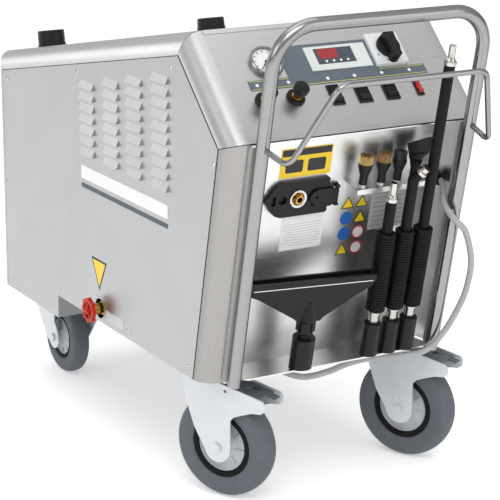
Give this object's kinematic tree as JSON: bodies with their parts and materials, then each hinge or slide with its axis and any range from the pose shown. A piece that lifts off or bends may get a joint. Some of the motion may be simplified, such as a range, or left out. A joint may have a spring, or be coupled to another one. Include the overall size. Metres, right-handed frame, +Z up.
{
  "type": "steam cleaner",
  "caption": "Mobile steam cleaner cart with a wedge-shaped stainless casing, sloping control panel, push handle, racked lances and brushes, and swivelling front casters.",
  "frame": {"origin": "on the floor, centred between the side panels, 313 mm behind the foot of the recessed front panel", "axes": "+Z up, front (control panel and tools) faces -Y, +X to the right for someone looking at the front"},
  "size_m": [0.5961, 1.1529, 0.9164],
  "materials": {
    "brushed_stainless": "brushed along the panel",
    "bright_stainless": "satin bright",
    "polished_tube": "polished",
    "zinc": "zinc plated and lacquered",
    "brass": "turned",
    "black_plastic": "moulded",
    "slate_plastic": "moulded",
    "pale_plastic": "moulded",
    "red_plastic": "moulded",
    "grey_rim": "moulded",
    "grey_tyre": "non-marking rubber",
    "cable_grey": "smooth jacket",
    "tank_plastic": "blow moulded",
    "boiler_steel": "mill finish",
    "bristle_tan": "fibre"
  },
  "bodies": {
    "frame": {"chassis_tray": "zinc", "left_side_panel": "brushed_stainless", "right_side_panel": "brushed_stainless", "rear_panel": "brushed_stainless", "top_hood": "bright_stainless", "control_fascia": "bright_stainless", "corner_posts": "brushed_stainless", "front_panel": "bright_stainless", "tool_shelf": "bright_stainless", "push_handle": "polished_tube", "casing_screws": "bright_stainless", "gauge_case": "polished_tube", "display_module": "pale_plastic", "switch_plate": "pale_plastic", "valve_glands": "brass", "rocker_bezels": "black_plastic", "socket_plate": "black_plastic", "steam_coupling": "brass", "accessory_bracket": "bright_stainless", "tool_cups": "black_plastic", "cable_gland": "black_plastic", "power_cable": "cable_grey", "water_tank": "tank_plastic", "detergent_tank": "tank_plastic", "boiler": "boiler_steel", "drain_valve": "brass", "caster_plates": "zinc", "rear_forks": "zinc"},
    "gauge_needle": {"gauge_needle": "black_plastic"},
    "main_switch_knob": {"main_switch_knob": "black_plastic"},
    "steam_valve_knob": {"steam_valve_knob": "black_plastic"},
    "water_valve_knob": {"water_valve_knob": "black_plastic"},
    "rocker_pump": {"rocker_pump": "black_plastic"},
    "rocker_heater": {"rocker_heater": "black_plastic"},
    "rocker_boost": {"rocker_boost": "black_plastic"},
    "rocker_power": {"rocker_power": "red_plastic"},
    "socket_cover": {"socket_cover": "black_plastic"},
    "lance_short": {"lance_short": "black_plastic"},
    "lance_angled": {"lance_angled": "black_plastic"},
    "lance_long": {"lance_long": "black_plastic"},
    "squeegee": {"squeegee": "black_plastic"},
    "brush_brass": {"brush_brass": "brass"},
    "brush_bronze": {"brush_bronze": "bristle_tan"},
    "brush_nylon": {"brush_nylon": "black_plastic"},
    "scraper_blade": {"scraper_blade": "bright_stainless"},
    "filler_cap_rear": {"filler_cap_rear": "black_plastic"},
    "filler_cap_front": {"filler_cap_front": "black_plastic"},
    "drain_handwheel": {"drain_handwheel": "red_plastic"},
    "fork_front_left": {"front_fork_left": "zinc"},
    "brake_pedal_left": {"brake_pedal_left": "slate_plastic"},
    "wheel_front_left": {"rim_front_left": "grey_rim", "tyre_front_left": "grey_tyre"},
    "wheel_rear_left": {"rim_rear_left": "grey_rim", "tyre_rear_left": "grey_tyre"},
    "fork_front_right": {"front_fork_right": "zinc"},
    "brake_pedal_right": {"brake_pedal_right": "slate_plastic"},
    "wheel_front_right": {"rim_front_right": "grey_rim", "tyre_front_right": "grey_tyre"},
    "wheel_rear_right": {"rim_rear_right": "grey_rim", "tyre_rear_right": "grey_tyre"}
  },
  "joints": [
    {"name": "gauge_needle_turn", "type": "hinge", "parent": "frame", "child": "gauge_needle", "pos_m": [-0.131, -0.34003, 0.81288], "axis": [0, -0.6945, 0.7195], "range_deg": [-270, 0]},
    {"name": "main_switch_turn", "type": "hinge", "parent": "frame", "child": "main_switch_knob", "pos_m": [0.121, -0.34342, 0.82072], "axis": [0, -0.6945, 0.7195], "range_deg": [-90, 90]},
    {"name": "steam_valve_turn", "type": "hinge", "parent": "frame", "child": "steam_valve_knob", "pos_m": [-0.167, -0.40726, 0.77022], "axis": [0, -0.6945, 0.7195], "range_deg": [0, 720]},
    {"name": "water_valve_turn", "type": "hinge", "parent": "frame", "child": "water_valve_knob", "pos_m": [-0.104, -0.40726, 0.77022], "axis": [0, -0.6945, 0.7195], "range_deg": [0, 720]},
    {"name": "rocker_pump_rock", "type": "hinge", "parent": "frame", "child": "rocker_pump", "pos_m": [-0.023, -0.39414, 0.75231], "axis": [1, 0, 0], "range_deg": [0, 14]},
    {"name": "rocker_heater_rock", "type": "hinge", "parent": "frame", "child": "rocker_heater", "pos_m": [0.033, -0.3981, 0.74849], "axis": [1, 0, 0], "range_deg": [0, 14]},
    {"name": "rocker_boost_rock", "type": "hinge", "parent": "frame", "child": "rocker_boost", "pos_m": [0.091, -0.3981, 0.74849], "axis": [1, 0, 0], "range_deg": [0, 14]},
    {"name": "rocker_power_rock", "type": "hinge", "parent": "frame", "child": "rocker_power", "pos_m": [0.1515, -0.39702, 0.74953], "axis": [1, 0, 0], "range_deg": [0, 14]},
    {"name": "socket_cover_hinge", "type": "hinge", "parent": "frame", "child": "socket_cover", "pos_m": [-0.01, -0.38504, 0.5705], "axis": [0, -0.1978, 0.9802], "range_deg": [0, 100]},
    {"name": "lance_short_lift", "type": "slide", "parent": "frame", "child": "lance_short", "axis": [0, -0.1978, 0.9802], "range_m": [0, 0.034]},
    {"name": "lance_angled_lift", "type": "slide", "parent": "frame", "child": "lance_angled", "axis": [0, -0.1978, 0.9802], "range_m": [0, 0.034]},
    {"name": "lance_long_lift", "type": "slide", "parent": "frame", "child": "lance_long", "axis": [0, -0.1978, 0.9802], "range_m": [0, 0.034]},
    {"name": "squeegee_lift", "type": "slide", "parent": "frame", "child": "squeegee", "axis": [0, -0.1978, 0.9802], "range_m": [0, 0.034]},
    {"name": "brush_brass_lift", "type": "slide", "parent": "frame", "child": "brush_brass", "axis": [0, -0.1978, 0.9802], "range_m": [0, 0.017]},
    {"name": "brush_bronze_lift", "type": "slide", "parent": "frame", "child": "brush_bronze", "axis": [0, -0.1978, 0.9802], "range_m": [0, 0.017]},
    {"name": "brush_nylon_lift", "type": "slide", "parent": "frame", "child": "brush_nylon", "axis": [0, -0.1978, 0.9802], "range_m": [0, 0.017]},
    {"name": "scraper_blade_lift", "type": "slide", "parent": "frame", "child": "scraper_blade", "axis": [0, -0.1978, 0.9802], "range_m": [0, 0.017]},
    {"name": "filler_cap_rear_turn", "type": "hinge", "parent": "frame", "child": "filler_cap_rear", "pos_m": [-0.176, 0.45365, 0.72091], "axis": [0, 0.1944, 0.9809], "range_deg": [0, 450]},
    {"name": "filler_cap_front_turn", "type": "hinge", "parent": "frame", "child": "filler_cap_front", "pos_m": [-0.188, -0.24575, 0.85953], "axis": [0, 0.1944, 0.9809], "range_deg": [0, 450]},
    {"name": "drain_handwheel_turn", "type": "hinge", "parent": "frame", "child": "drain_handwheel", "pos_m": [-0.289, 0.058, 0.272], "axis": [-1, 0, 0], "range_deg": [0, 1080]},
    {"name": "swivel_front_left", "type": "hinge", "parent": "frame", "child": "fork_front_left", "pos_m": [-0.202, -0.257, 0.234], "axis": [0, 0, 1], "continuous": true},
    {"name": "pedal_left", "type": "hinge", "parent": "fork_front_left", "child": "brake_pedal_left", "pos_m": [-0.17385, -0.31224, 0.213], "axis": [0.891, 0.454, 0], "range_deg": [0, 12]},
    {"name": "wheel_front_left_spin", "type": "hinge", "parent": "fork_front_left", "child": "wheel_front_left", "pos_m": [-0.18157, -0.2971, 0.1], "axis": [0.891, 0.454, 0], "continuous": true},
    {"name": "wheel_rear_left_spin", "type": "hinge", "parent": "frame", "child": "wheel_rear_left", "pos_m": [-0.152, 0.459, 0.08], "axis": [1, 0, 0], "continuous": true},
    {"name": "swivel_front_right", "type": "hinge", "parent": "frame", "child": "fork_front_right", "pos_m": [0.202, -0.257, 0.234], "axis": [0, 0, 1], "continuous": true},
    {"name": "pedal_right", "type": "hinge", "parent": "fork_front_right", "child": "brake_pedal_right", "pos_m": [0.23015, -0.31224, 0.213], "axis": [0.891, 0.454, 0], "range_deg": [0, 12]},
    {"name": "wheel_front_right_spin", "type": "hinge", "parent": "fork_front_right", "child": "wheel_front_right", "pos_m": [0.22243, -0.2971, 0.1], "axis": [0.891, 0.454, 0], "continuous": true},
    {"name": "wheel_rear_right_spin", "type": "hinge", "parent": "frame", "child": "wheel_rear_right", "pos_m": [0.152, 0.459, 0.08], "axis": [1, 0, 0], "continuous": true}
  ]
}
